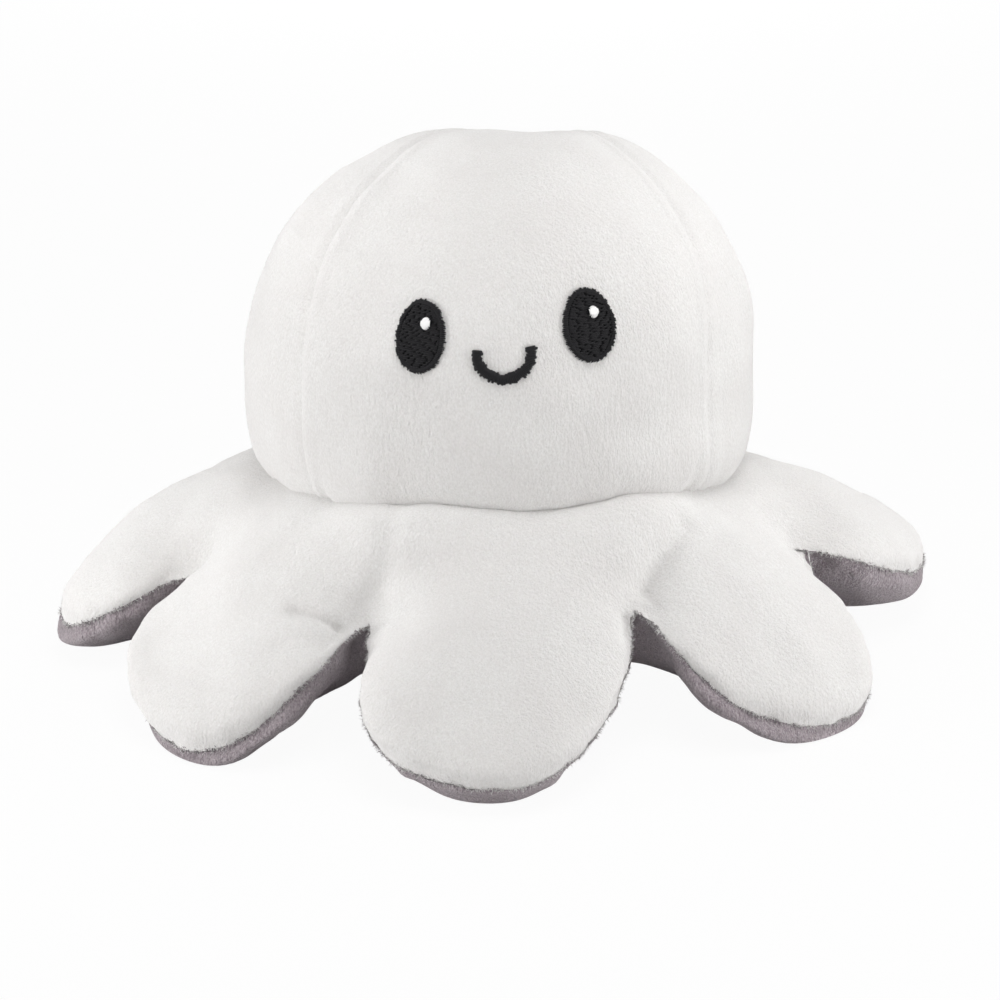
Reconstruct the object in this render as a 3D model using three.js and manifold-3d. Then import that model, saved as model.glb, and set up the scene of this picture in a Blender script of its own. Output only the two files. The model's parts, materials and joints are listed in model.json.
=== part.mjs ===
// Plush octopus of the reversible kind: a white outer skin, a grey lining and soft filling between them.
// Millimetres, +Z up. The face looks along -Y. The toy stands on the undersides of its eight arms, and the
// origin lies at the bottom centre of its box.
import * as THREE from 'three';
import { mergeVertices } from 'three/addons/utils/BufferGeometryUtils.js';
import Module from 'manifold-3d';

const wasm = await Module();
wasm.setup();

// Cloth and clearances
const fabric = 1.6; // pile fabric with its backing
const seamGap = 0.3; // clearance between pieces that are sewn or lie together
const fillingGap = 1; // clearance from the middle of a curved skin to the filling behind it

// Head: a squarish dome of four panels, widest at cheek level and drawn in to the neck seam
const headRadius = 57.3;
const neckHeight = 41.2; // level of the neck seam
const cheekRise = 24; // from the neck seam up to cheek level
const crownRise = 49.5; // from cheek level up to the crown
const bulgeDrop = 3; // from the neck seam down to where the lower bulge would close
const headTopFullness = 2.35; // exponent of the upper outline, where 2 is an ellipse and more is squarer
const headBaseFullness = 5; // exponent of the lower outline
const crownDip = 2.2;
const crownDipRadius = 11;
const panelSeamPull = 0.9; // how far the panel seams are drawn in
const panelSeamSharpness = 6; // exponent, higher keeps the pull close to the seam
const frontPanelDegrees = 95;
const faceTurnDegrees = 2.5; // the front panel looks a little towards +X
const leanDegrees = 4; // the head and skirt lean back, which lifts their front
const sideLeanDegrees = 1.5; // the head leans a little towards +X

// Pocket: the lining of the head, tucked up inside from below
const pocketRadius = 24;
const pocketFlare = 10; // extra radius at the mouth
const pocketHeight = 56;
const pocketFullness = 3;
const pocketFlareSharpness = 4;
const mouthHeight = 13; // level of the pocket's mouth seam

// Skirt: the ring between the neck and the eight fold lines
const skirtWidth = 15.3; // from the neck seam to the fold lines
const foldHeight = 35; // level of the skin's top over the middle of a fold line, without the lean
const skirtBulge = 0.6;
const skirtUndersideHeight = 10; // level of the underside below the middle of a fold line
const skirtValleyHeight = 16; // level of the underside below a corner between two arms
const droopDegrees = 10; // how far an arm can sink before it meets the skirt

// Arms: stuffed lobes, seamed along their outline, standing on their undersides
const seamBelowFold = 9; // from the fold line's level down to the seam
const seamTipHeight = 6; // level of the seam at the tip
const seamFallExponent = 1.1;
const armLength = 38; // from the fold line to the tip
const rootClearance = 0.9; // beside the root, so that neighbours clear each other as they move
const armSwell = 4.6; // how much wider each side grows beyond the root
const armSway = 9;
const armCrest = 3;
const widenLength = 18; // the arm reaches its full width over this length
const tipRound = 28; // length of the rounded end
const tipFullness = 2;
const restDepth = 0.5; // the underside is pressed flat this deep where it stands

// Each arm has its share of the length, of the sway, by which the tip drifts counter-clockwise, and of the
// crest, by which the upper skin rises at mid-length over its height at the root
const arms = [
  { name: 'front', lengthShare: 1.1, swayShare: 0.3, crestShare: 0.7 },
  { name: 'front_right', lengthShare: 0.94, swayShare: 0.9, crestShare: 0.7 },
  { name: 'right', lengthShare: 0.88, swayShare: 1, crestShare: 1.5 },
  { name: 'back_right', lengthShare: 0.92, swayShare: 0.2, crestShare: -1 },
  { name: 'back', lengthShare: 1, swayShare: -0.1, crestShare: -0.7 },
  { name: 'back_left', lengthShare: 0.92, swayShare: -0.2, crestShare: -1 },
  { name: 'left', lengthShare: 1, swayShare: 1, crestShare: 1.2 },
  { name: 'front_left', lengthShare: 1.03, swayShare: 0.4, crestShare: 0.7 },
];

// Face: stitched patches that follow the front of the head
const stitchHeight = 0.8; // how thick the stitching stands
const faceRollDegrees = 2;
const eyeSpacing = 37;
const eyeHalfWidth = 5.7;
const eyeHalfHeight = 8.2;
const eyesAboveNeck = 47.8; // along the skin, from the neck seam to the line of the eyes
const faceShift = 0.7; // the face's middle from the middle of the front panel, along the skin
const leftEyeLeanDegrees = -2;
const rightEyeLeanDegrees = 2;
const glintHalfWidth = 1.1;
const glintHalfHeight = 1.5;
const glintAcross = 1.25; // from the eye's middle
const glintUp = 2.6;
const mouthRadius = 5.6; // to the middle of the stitched band
const mouthBand = 2.3;
const mouthBelowEyes = 3.9; // from the line of the eyes to the arc's centre
const mouthAcross = -1;
const mouthSweepDegrees = 180;

// Fineness of the surfaces
const headRows = 10;
const headColumns = 8;
const pocketRows = 8;
const pocketColumns = 5;
const armRows = 5;
const armColumns = 8;
const fillingColumns = 6;
const skirtRows = 2;
const skirtColumnsPerArm = 6;
const fillingTurns = 24;
const patchTurns = 20;
const patchRings = 2;
const bandSteps = 16;

const quarterTurn = Math.PI / 2;
const fullTurn = Math.PI * 2;
const armStep = fullTurn / arms.length;
const halfArmStep = armStep / 2;
const radians = THREE.MathUtils.degToRad;
const lerp = THREE.MathUtils.lerp;
const smoothstep = THREE.MathUtils.smoothstep;

// Materials
const paint = (color, roughness) => () => new THREE.MeshStandardMaterial({ color, roughness, metalness: 0 });
const whitePlush = paint(0xe4e2df, 0.95);
const greyPlush = paint(0x958b8f, 0.95);
const blackThread = paint(0x1c1b1f, 0.6);
const whiteThread = paint(0xf4f3f2, 0.6);
const fibreFilling = paint(0xf2f1ec, 1);

// A closed surface that is put together from grids of points
class Skin {
  constructor() {
    this.points = [];
    this.faces = [];
  }

  // place(i, j) gives the point in row i and column j
  grid(rows, columns, place) {
    const first = this.points.length;
    for (let i = 0; i <= rows; i += 1) {
      for (let j = 0; j <= columns; j += 1) {
        this.points.push(place(i, j));
      }
    }
    const at = (i, j) => first + i * (columns + 1) + j;
    for (let i = 0; i < rows; i += 1) {
      for (let j = 0; j < columns; j += 1) {
        this.faces.push([at(i, j), at(i, j + 1), at(i + 1, j + 1)]);
        this.faces.push([at(i, j), at(i + 1, j + 1), at(i + 1, j)]);
      }
    }
    return this;
  }

  // The geometry with like points merged, empty triangles left out and every face pointing out
  geometry() {
    const loose = new THREE.BufferGeometry();
    loose.setAttribute('position', new THREE.Float32BufferAttribute(this.points.flatMap((p) => p.toArray()), 3));
    loose.setIndex(this.faces.flat());
    const merged = mergeVertices(loose);
    const index = merged.getIndex().array;
    const place = merged.getAttribute('position');
    const corner = (n) => new THREE.Vector3().fromBufferAttribute(place, n);
    const kept = [];
    let sixVolumes = 0;
    for (let n = 0; n < index.length; n += 3) {
      const [a, b, c] = [index[n], index[n + 1], index[n + 2]];
      if (a !== b && b !== c && c !== a) {
        kept.push([a, b, c]);
        sixVolumes += corner(a).dot(corner(b).cross(corner(c)));
      }
    }
    merged.setIndex(kept.flatMap(([a, b, c]) => (sixVolumes < 0 ? [a, c, b] : [a, b, c])));
    return merged;
  }
}

// A sheet with an outer and an inner face, closed along its four edges or, if it goes round, along two
function sheet(rows, columns, place, goesRound = false) {
  const skin = new Skin();
  skin.grid(rows, columns, (i, j) => place(i, j, 0));
  skin.grid(rows, columns, (i, j) => place(i, columns - j, 1));
  skin.grid(1, columns, (i, j) => place(0, columns - j, i));
  skin.grid(1, columns, (i, j) => place(rows, j, i));
  if (!goesRound) {
    skin.grid(1, rows, (i, j) => place(j, 0, i));
    skin.grid(1, rows, (i, j) => place(rows - j, columns, i));
  }
  return skin.geometry();
}

function toManifold(geometry) {
  const plain = new THREE.BufferGeometry();
  plain.setAttribute('position', geometry.getAttribute('position').clone());
  plain.setIndex(geometry.getIndex().clone());
  const merged = mergeVertices(plain);
  return new wasm.Manifold(new wasm.Mesh({
    numProp: 3,
    vertProperties: new Float32Array(merged.getAttribute('position').array),
    triVerts: new Uint32Array(merged.getIndex().array),
  }));
}

function fromManifold(solid) {
  const mesh = solid.getMesh();
  const geometry = new THREE.BufferGeometry();
  geometry.setAttribute('position', new THREE.BufferAttribute(mesh.vertProperties, mesh.numProp));
  geometry.setIndex(new THREE.BufferAttribute(mesh.triVerts, 1));
  return geometry;
}

function piece(name, geometry, material) {
  geometry.computeVertexNormals();
  const mesh = new THREE.Mesh(geometry, material());
  mesh.name = name;
  return mesh;
}

// Outline of the head from the neck seam (0) to the crown (1), as radius and height
const cheekHeight = neckHeight + cheekRise;
const headDrop = cheekRise + bulgeDrop;

class HeadOutline extends THREE.Curve {
  getPoint(share) {
    const neckShare = cheekRise / headDrop;
    const neckAngle = -Math.asin(neckShare ** (headBaseFullness / 2));
    const angle = lerp(neckAngle, quarterTurn, share);
    const upper = angle > 0;
    const power = 2 / (upper ? headTopFullness : headBaseFullness);
    const radius = headRadius * Math.max(Math.cos(angle), 0) ** power;
    const rise = Math.abs(Math.sin(angle)) ** power * (upper ? crownRise : -headDrop);
    const dip = crownDip * Math.exp(-((radius / crownDipRadius) ** 2));
    return new THREE.Vector2(radius, cheekHeight + rise - dip);
  }
}

// Outline of the pocket from its mouth (0) to its top (1)
class PocketOutline extends THREE.Curve {
  getPoint(share) {
    const angle = share * quarterTurn;
    const power = 2 / pocketFullness;
    const flare = pocketFlare * (1 - Math.sin(angle)) ** pocketFlareSharpness;
    const radius = pocketRadius * Math.max(Math.cos(angle), 0) ** power + flare;
    return new THREE.Vector2(radius, mouthHeight + seamGap / 2 + pocketHeight * Math.sin(angle) ** power);
  }
}

const headOutline = new HeadOutline();
const pocketOutline = new PocketOutline();
const neckRadius = headOutline.getPoint(0).x;
const mouthRing = pocketOutline.getPoint(0).x;
const foldDistance = neckRadius + skirtWidth;
const rootHalfWidth = foldDistance * Math.tan(halfArmStep) - rootClearance;

// The head, the pocket and the skirt's inner edges lean back: each point rises as far as it lies forwards
const leanSlope = Math.tan(radians(leanDegrees));
const sideSlope = Math.tan(radians(sideLeanDegrees));

function lean(point) {
  const shift = Math.max(point.z - neckHeight, 0) * sideSlope;
  return new THREE.Vector3(point.x + shift, point.y, point.z - point.y * leanSlope);
}

function leaned(radius, angle, height) {
  return lean(new THREE.Vector3(radius * Math.cos(angle), radius * Math.sin(angle), height));
}

// A point of an outline at a share of its length, moved off it along its normal
function outlinePoint(outline, share, offset) {
  const point = outline.getPointAt(share);
  if (share === 1) {
    return new THREE.Vector2(0, point.y + offset);
  }
  const tangent = outline.getTangentAt(share);
  return new THREE.Vector2(Math.max(point.x + tangent.y * offset, 0), point.y - tangent.x * offset);
}

// The four panels of a dome share their seams. Each stands off its seams by half a gap, because the whole
// panel is moved out along its middle. The first panel looks towards the face.
function domePanels(names, outline, rows, columns, material, outset, inset) {
  const panels = [];
  let start = -quarterTurn + radians(faceTurnDegrees) - radians(frontPanelDegrees) / 2;
  names.forEach((name, number) => {
    const spread = number % 2 ? Math.PI - radians(frontPanelDegrees) : radians(frontPanelDegrees);
    const middle = start + spread / 2;
    const slide = seamGap / 2 / Math.sin(spread / 2);
    const place = (i, j, side) => {
      const across = (2 * j) / columns - 1;
      const point = outlinePoint(outline, i / rows, side ? inset : outset);
      const pull = panelSeamPull * Math.abs(across) ** panelSeamSharpness * Math.min(point.x / headRadius, 1);
      const angle = middle + (across * spread) / 2;
      const step = new THREE.Vector3(Math.cos(middle) * slide, Math.sin(middle) * slide, 0);
      return leaned(point.x - pull, angle, point.y).add(step);
    };
    panels.push(piece(name, sheet(rows, columns, place), material));
    start += spread;
  });
  return panels;
}

// Arm numbers count counter-clockwise from the front. A fold line is level, at the lean of its middle.
const armAngle = (number) => -quarterTurn + number * armStep;
const foldLift = (number) => -foldDistance * Math.sin(armAngle(number)) * leanSlope;

// Skirt: points run from an inner circle to an octagon whose sides are the fold lines. Its edge stands the
// farther back from a fold line the deeper it lies below it, so that the arms can droop.
const skirtEdge = foldDistance - seamGap;
const droopSlope = Math.tan(radians(droopDegrees));

function skirtRing(innerRadius, heightAt) {
  const columns = arms.length * skirtColumnsPerArm;
  const place = (i, j, side) => {
    const share = i / skirtRows;
    const number = j / skirtColumnsPerArm - 1 / 2;
    const angle = armAngle(number);
    const offset = (number - Math.round(number)) * armStep;
    const lifts = [foldLift(Math.ceil(number - 1 / 2)), foldLift(Math.floor(number + 1 / 2))];
    const edgeLift = (lifts[0] + lifts[1]) / 2;
    const edgeDepth = foldHeight + Math.max(...lifts) - heightAt(1, offset, side) - edgeLift;
    const edgeRadius = (skirtEdge - edgeDepth * droopSlope) / Math.cos(offset);
    const innerLift = -innerRadius * Math.sin(angle) * leanSlope;
    const radius = lerp(innerRadius, edgeRadius, share);
    const height = heightAt(share, offset, side) + lerp(innerLift, edgeLift, share);
    return new THREE.Vector3(radius * Math.cos(angle), radius * Math.sin(angle), height);
  };
  return sheet(skirtRows, columns, (i, j, side) => place(i, j % columns, side), true);
}

function skirtTop() {
  const heightAt = (share, offset, side) => {
    const across = Math.tan(offset) / Math.tan(halfArmStep);
    const rise = fabric + (seamBelowFold - fabric) * Math.sqrt(Math.max(1 - across ** 2, 0));
    const edge = foldHeight - seamBelowFold + rise;
    const height = lerp(neckHeight - seamGap, edge, share) + skirtBulge * Math.sin(Math.PI * share);
    return height - side * fabric;
  };
  return piece('skirt_top', skirtRing(neckRadius - fabric, heightAt), whitePlush);
}

function skirtUnderside() {
  const heightAt = (share, offset, side) => {
    const edge = lerp(skirtUndersideHeight, skirtValleyHeight, (offset / halfArmStep) ** 2);
    const mouth = mouthHeight - seamGap / 2 - fabric;
    return lerp(mouth, edge, share) - skirtBulge * Math.sin(Math.PI * share) + side * fabric;
  };
  return piece('skirt_underside', skirtRing(mouthRing - fabric, heightAt), greyPlush);
}

// Filling of the head and skirt: one mass with the pocket let into it from below
function bodyFilling() {
  const inset = fabric + fillingGap;
  const line = (outline, steps, offset) =>
    Array.from({ length: steps + 1 }, (_, n) => outlinePoint(outline, n / steps, offset));
  const base = mouthHeight + inset;
  const outer = skirtEdge - (foldHeight - skirtUndersideHeight) * droopSlope - inset - fabric;
  const throat = neckRadius - inset;
  const profile = [
    ...line(pocketOutline, pocketRows, inset).reverse().filter((point) => point.y >= base),
    new THREE.Vector2(outer - fabric, skirtValleyHeight + inset),
    new THREE.Vector2(outer, foldHeight - seamBelowFold),
    new THREE.Vector2(throat, neckHeight - inset - fabric),
    new THREE.Vector2(throat, neckHeight + fabric),
    ...line(headOutline, headRows, -inset).slice(1),
  ];
  const turned = new THREE.LatheGeometry(profile, fillingTurns);
  turned.rotateX(quarterTurn);
  turned.deleteAttribute('normal');
  turned.deleteAttribute('uv');
  const skin = new Skin();
  const corners = mergeVertices(turned);
  const place = corners.getAttribute('position');
  for (let n = 0; n < place.count; n += 1) {
    skin.points.push(lean(new THREE.Vector3().fromBufferAttribute(place, n)));
  }
  const index = corners.getIndex().array;
  for (let n = 0; n < index.length; n += 3) {
    skin.faces.push([index[n], index[n + 1], index[n + 2]]);
  }
  return piece('body_filling', skin.geometry(), fibreFilling);
}

// Arm shapes, from the fold line outwards (x), across (y) and up (z), measured from the fold line's middle
function armShape({ lengthShare, swayShare, crestShare }, level) {
  const length = armLength * lengthShare;
  const seamLevel = (x) => lerp(level - seamBelowFold, seamTipHeight, Math.max(x / length, 0) ** seamFallExponent);
  const halfWidth = (x) => rootHalfWidth + armSwell * smoothstep(x, 0, widenLength);
  const puff = (x) => seamBelowFold + armCrest * crestShare * Math.sin((Math.PI * x) / length);
  const swell = (along) => Math.sqrt(Math.max(1 - along ** tipFullness, 0));

  // The underside hangs as deep below the seam as lets it touch down, pressed flat by the rest depth
  const steps = Array.from({ length: armRows * armRows }, (_, n) => n / (armRows * armRows));
  const depth = Math.min(...steps.map((share) => (seamLevel(share * length) + restDepth) / swell(share)));

  // along runs from the fold line (0) to the seam at the tip (1), and turn from edge to edge
  const point = (along, turn, inset, rise) => {
    const end = length - inset - tipRound * (1 - Math.cos(turn));
    const x = seamGap / 2 + (end - seamGap / 2) * along;
    const y = Math.sin(turn) * (halfWidth(x) - inset) + armSway * swayShare * (x / length) ** 2;
    const bulge = Math.cos(turn) * swell(along);
    const lift = rise > 0 ? puff(x) - inset : -(depth - inset);
    const edge = rise * (seamGap / 2);
    return new THREE.Vector3(x, y, seamLevel(x) - level + edge + lift * bulge);
  };
  return point;
}

const alongAt = (i, rows) => Math.sin((quarterTurn * i) / rows);
const turnAt = (j, columns) => quarterTurn * ((2 * j) / columns - 1);

function armCover(shape, rise) {
  const place = (i, j, side) => shape(alongAt(i, armRows), turnAt(j, armColumns), side * fabric, rise);
  return sheet(armRows, armColumns, place);
}

function armFilling(shape) {
  const inset = fabric + fillingGap;
  const place = (i, j, rise) => {
    const point = shape(alongAt(i, armRows), turnAt(j, fillingColumns), inset, rise);
    const edge = i === armRows || j === 0 || j === fillingColumns;
    return edge ? point.setZ(point.z - rise * (seamGap / 2)) : point;
  };
  const skin = new Skin();
  skin.grid(armRows, fillingColumns, (i, j) => place(i, j, 1));
  skin.grid(armRows, fillingColumns, (i, j) => place(i, fillingColumns - j, -1));
  skin.grid(1, fillingColumns, (i, j) => place(0, fillingColumns - j, i ? -1 : 1));
  return skin.geometry();
}

function armGroup(arm, number) {
  const group = new THREE.Group();
  const angle = armAngle(number);
  const level = foldHeight + foldLift(number);
  group.position.set(Math.cos(angle) * foldDistance, Math.sin(angle) * foldDistance, level);
  group.rotation.z = angle;
  const shape = armShape(arm, level);
  // What would lie below the surface that the toy stands on is cut off
  const underside = fromManifold(toManifold(armCover(shape, -1)).trimByPlane([0, 0, 1], -level));
  group.add(piece(`arm_${arm.name}_top`, armCover(shape, 1), whitePlush));
  group.add(piece(`arm_${arm.name}_underside`, underside, greyPlush));
  group.add(piece(`arm_${arm.name}_filling`, armFilling(shape), fibreFilling));
  return group;
}

// Face patches lie on the skin: across and up are measured along it from the middle of the front panel
const headLength = headOutline.getLength();

function facePoint(across, up, offset) {
  const point = outlinePoint(headOutline, up / headLength, offset);
  const middle = outlinePoint(headOutline, eyesAboveNeck / headLength, 0);
  const angle = -quarterTurn + radians(faceTurnDegrees) + across / middle.x;
  return leaned(point.x, angle, point.y);
}

// Places in the face are turned about its middle by the face's roll
function rolledPoint(across, up, offset) {
  const roll = radians(faceRollDegrees);
  const x = across * Math.cos(roll) - up * Math.sin(roll);
  const y = across * Math.sin(roll) + up * Math.cos(roll);
  return facePoint(faceShift + x, eyesAboveNeck + y, offset);
}

function ovalPatch(name, centre, halfWidth, halfHeight, leanDegrees, base, material) {
  const lean = radians(leanDegrees);
  const place = (i, j, side) => {
    const angle = (fullTurn * j) / patchTurns;
    const x = (halfWidth * Math.cos(angle) * i) / patchRings;
    const y = (halfHeight * Math.sin(angle) * i) / patchRings;
    const across = centre.x + x * Math.cos(lean) - y * Math.sin(lean);
    const up = centre.y + x * Math.sin(lean) + y * Math.cos(lean);
    return rolledPoint(across, up, side ? base : base + stitchHeight);
  };
  const skin = new Skin();
  skin.grid(patchRings, patchTurns, (i, j) => place(i, j % patchTurns, 0));
  skin.grid(patchRings, patchTurns, (i, j) => place(i, (patchTurns - j) % patchTurns, 1));
  skin.grid(1, patchTurns, (i, j) => place(patchRings, j % patchTurns, i));
  return piece(name, skin.geometry(), material);
}

function mouthPatch() {
  const sweep = radians(mouthSweepDegrees);
  const place = (i, j, side) => {
    const angle = -quarterTurn + sweep * (i / bandSteps - 1 / 2);
    const radius = mouthRadius + mouthBand * (j - 1 / 2);
    const offset = side ? seamGap : seamGap + stitchHeight;
    return rolledPoint(mouthAcross + radius * Math.cos(angle), radius * Math.sin(angle) - mouthBelowEyes, offset);
  };
  return piece('mouth', sheet(bandSteps, 1, place), blackThread);
}

function face() {
  const patches = [];
  const glintBase = seamGap + stitchHeight + seamGap;
  [['left', -1, leftEyeLeanDegrees], ['right', 1, rightEyeLeanDegrees]].forEach(([side, sign, lean]) => {
    const eye = new THREE.Vector2((sign * eyeSpacing) / 2, 0);
    const glint = new THREE.Vector2(eye.x + glintAcross, glintUp);
    patches.push(ovalPatch(`eye_${side}`, eye, eyeHalfWidth, eyeHalfHeight, lean, seamGap, blackThread));
    patches.push(ovalPatch(`eye_glint_${side}`, glint, glintHalfWidth, glintHalfHeight, lean, glintBase, whiteThread));
  });
  patches.push(mouthPatch());
  return patches;
}

const headNames = ['head_panel_front', 'head_panel_right', 'head_panel_back', 'head_panel_left'];
const pocketNames = ['pocket_panel_front', 'pocket_panel_right', 'pocket_panel_back', 'pocket_panel_left'];

const octopus = new THREE.Group();
octopus.add(...domePanels(headNames, headOutline, headRows, headColumns, whitePlush, 0, -fabric));
octopus.add(...domePanels(pocketNames, pocketOutline, pocketRows, pocketColumns, greyPlush, fabric, 0));
octopus.add(skirtTop(), skirtUnderside(), bodyFilling());
octopus.add(...arms.map(armGroup));
octopus.add(...face());

// The middle of the box goes over the origin
const box = new THREE.Box3().setFromObject(octopus, true);
octopus.position.set(-(box.min.x + box.max.x) / 2, -(box.min.y + box.max.y) / 2, 0);
octopus.updateMatrixWorld(true);

export default octopus;
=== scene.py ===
# Plush octopus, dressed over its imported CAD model: white skin, grey lining, stitched face.
# Shapes are worked out in millimetres about the head's axis, and meshes are made in metres.
import json
import math

import bpy
import numpy as np
from mathutils import Matrix, Vector


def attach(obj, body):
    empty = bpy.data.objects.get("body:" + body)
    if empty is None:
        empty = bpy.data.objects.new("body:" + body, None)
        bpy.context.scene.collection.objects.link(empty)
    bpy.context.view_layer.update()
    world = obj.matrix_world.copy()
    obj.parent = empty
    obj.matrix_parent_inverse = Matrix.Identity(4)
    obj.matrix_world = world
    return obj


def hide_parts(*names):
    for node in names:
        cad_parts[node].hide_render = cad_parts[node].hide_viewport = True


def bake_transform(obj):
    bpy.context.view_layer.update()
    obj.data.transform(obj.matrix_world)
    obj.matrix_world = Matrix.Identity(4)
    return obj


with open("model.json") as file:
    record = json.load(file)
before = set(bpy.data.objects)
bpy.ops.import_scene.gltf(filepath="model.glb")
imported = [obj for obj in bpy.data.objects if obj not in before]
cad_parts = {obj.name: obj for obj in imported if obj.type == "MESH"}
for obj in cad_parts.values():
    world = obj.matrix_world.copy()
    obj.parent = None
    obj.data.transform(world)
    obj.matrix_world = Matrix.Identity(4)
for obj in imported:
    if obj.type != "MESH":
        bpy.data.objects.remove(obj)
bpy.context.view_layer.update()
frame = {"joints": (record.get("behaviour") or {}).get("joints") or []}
scene = bpy.context.scene
MM = 0.001
quarter_turn = math.pi / 2
full_turn = 2 * math.pi

# The fold hinges of the arms give the head's axis
hinges = {joint["child"]: np.array(joint["pos_m"]) / MM for joint in frame["joints"]}
axis_xy = np.mean([hinge[:2] for hinge in hinges.values()], axis=0)

# Camera, which looks at a point on the floor near the head's axis
target_from_axis = (-1.9, -1.9)
camera_distance = 1107.6
camera_elevation = math.radians(23.64)
camera_azimuth = math.radians(2.53)
camera_roll = math.radians(-1.685)
focal_pixels = 4782.5
image_size = 1000
origin_pixel = (492.8, 617.6)
sensor_width = 36.0
clip_start = 10.0


def add_camera():
    level = math.cos(camera_elevation)
    towards = Vector(
        (math.sin(camera_azimuth) * level, -math.cos(camera_azimuth) * level, math.sin(camera_elevation))
    )
    look = towards.to_track_quat("Z", "Y").to_matrix()
    middle = image_size / 2
    pitch = math.atan((origin_pixel[1] - middle) / focal_pixels)
    yaw = math.atan((origin_pixel[0] - middle) / focal_pixels)
    aim = Matrix.Rotation(pitch, 3, "X") @ Matrix.Rotation(yaw, 3, "Y")
    aim = aim @ Matrix.Rotation(camera_roll, 3, "Z")
    data = bpy.data.cameras.new("camera")
    data.sensor_width = sensor_width
    data.lens = focal_pixels / image_size * sensor_width
    data.clip_start = clip_start * MM
    camera = bpy.data.objects.new("camera", data)
    target = Vector((*(axis_xy + target_from_axis), 0))
    place = (target + towards * camera_distance) * MM
    camera.matrix_world = Matrix.Translation(place) @ (look @ aim).to_4x4()
    scene.collection.objects.link(camera)
    scene.camera = camera


add_camera()

# Helpers for shapes
wave_count = 18
wave_length_shares = (0.75, 1.4)
tiny = 1e-9


def smooth(share):
    share = np.clip(share, 0, 1)
    return share * share * (3 - 2 * share)


def bell(distance, width):
    return np.exp(-((distance / width) ** 2))


def angle_apart(angle, heading):
    return np.angle(np.exp(1j * (angle - heading)))


def angle_bell(angle, heading, width):
    """Bell round the axis, with its heading and width in degrees."""
    return bell(angle_apart(angle, math.radians(heading)), math.radians(width))


def unit(vectors):
    return vectors / np.maximum(np.linalg.norm(vectors, axis=-1), tiny)[..., None]


def turned(x, y, angle):
    """Points of a plan turned by an angle."""
    sine, cosine = math.sin(angle), math.cos(angle)
    return np.stack([x * cosine - y * sine, x * sine + y * cosine], -1)


def polar(points):
    return np.hypot(points[..., 0], points[..., 1]), np.arctan2(points[..., 1], points[..., 0])


def from_polar(radius, angle, *height):
    return np.stack([radius * np.cos(angle), radius * np.sin(angle), *height], -1)


def sweep(start, end, count):
    """Angles from start on to end, counter-clockwise."""
    return start + np.linspace(0, (end - start) % full_turn, count + 1)


def waves(points, length, seed):
    """Smooth random field of about unit size over points, made of plane waves about one length."""
    draw = np.random.default_rng(seed)
    heading = draw.normal(size=(wave_count, 3))
    heading /= np.linalg.norm(heading, axis=1)[:, None]
    size = full_turn / (length * draw.uniform(*wave_length_shares, wave_count))
    phase = draw.uniform(0, full_turn, wave_count)
    return np.cos(points @ (heading * size[:, None]).T + phase).sum(-1) * math.sqrt(2 / wave_count)


# How the whole toy stands: lower towards the back, in a line and in a sag behind the axis
lean_slope = math.tan(math.radians(4))
back_sag = 0.0022  # per millimetre


def ground_sag(y):
    return back_sag * np.maximum(y, 0) ** 2


def on_slope(height, y):
    return height - y * lean_slope - ground_sag(y)


# Skirt and arms: an arm spans one step round the axis, and a notch lies between two arms
arm_names = ["front", "front_right", "right", "back_right", "back", "back_left", "left", "front_left"]
arm_step = full_turn / len(arm_names)
half_step = arm_step / 2
neck_radius = 48.0
neck_height = 41.2
opening_radius = 34.0
opening_height = 13.0
notch_radius = 74.0
notch_height = 23.5
notch_x = notch_radius * math.cos(half_step)
notch_y = notch_radius * math.sin(half_step)
widen_length = 16.0
inner_rows = 26
outer_rows = 60
arm_columns = 80

# Reach from the axis, sway of the tip, half width and roundness of the tip on its clockwise and on its
# other side
arm_shapes = {
    "front": (107.0, 2.0, 28.9, 23.0, 50.0),
    "front_right": (100.2, 8.0, 28.2, 25.5, 32.0),
    "right": (97.0, 8.7, 29.4, 31.0, 28.0),
    "back_right": (95.0, 2.0, 30.2, 28.0, 28.0),
    "back": (102.0, -1.0, 30.2, 28.0, 28.0),
    "back_left": (99.0, -2.0, 30.2, 28.0, 28.0),
    "left": (101.6, 9.8, 30.3, 28.0, 25.0),
    "front_left": (102.0, 4.0, 29.9, 33.5, 28.5),
}
# Height of the seam at the tip, and how long it stays high on the clockwise and on the other side
seam_shapes = {
    "front": (6.4, 0.77, 0.37),
    "front_right": (2.6, 1.6, 0.43),
    "right": (9.4, 2.4, 1.1),
    "back_right": (6.0, 1.2, 1.0),
    "back": (6.0, 1.1, 1.1),
    "back_left": (6.0, 1.0, 1.2),
    "left": (6.9, 1.05, 1.6),
    "front_left": (2.4, 0.46, 2.0),
}
# The notch on the clockwise side of an arm: turned about the axis in degrees, moved outwards and lowered
notch_shapes = {
    "front": (0.95, -1.5, 1.2),
    "front_right": (3.1, -1.5, -0.2),
    "right": (1.5, -0.4, -0.8),
    "back_right": (0.0, 0.0, 5.0),
    "back": (0.0, 0.0, 4.5),
    "back_left": (0.0, 0.0, 0.0),
    "left": (0.0, 0.0, 2.5),
    "front_left": (-1.5, 0.0, 3.9),
}
notch_shift_width, notch_shift_length, notch_shift_fade_share = 15.0, 25.0, 0.8

# Pressure of the filling on the skins of each arm, in the order of arm_names, more towards the tip
pressure_shares = {
    "white": (1.0, 1.0, 0.88, 0.3, 0.9, 0.58, 0.88, 1.0),
    "grey": (1.0, 1.35, 1.4, 0.6, 0.9, 0.7, 1.6, 1.35),
}
pressure_at_neck, pressure_at_tip = 0.55, 1.7
film_steps = 3000
film_tolerance = 1e-10
least_area = 1e-6

# Ring that a skin hangs from: radius and height. Valley that runs in from a notch: where, and its radius
rings = {
    "white": (neck_radius, neck_height, 60.0, 11.0),
    "grey": (opening_radius, opening_height, 40.0, 22.0),
}


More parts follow.
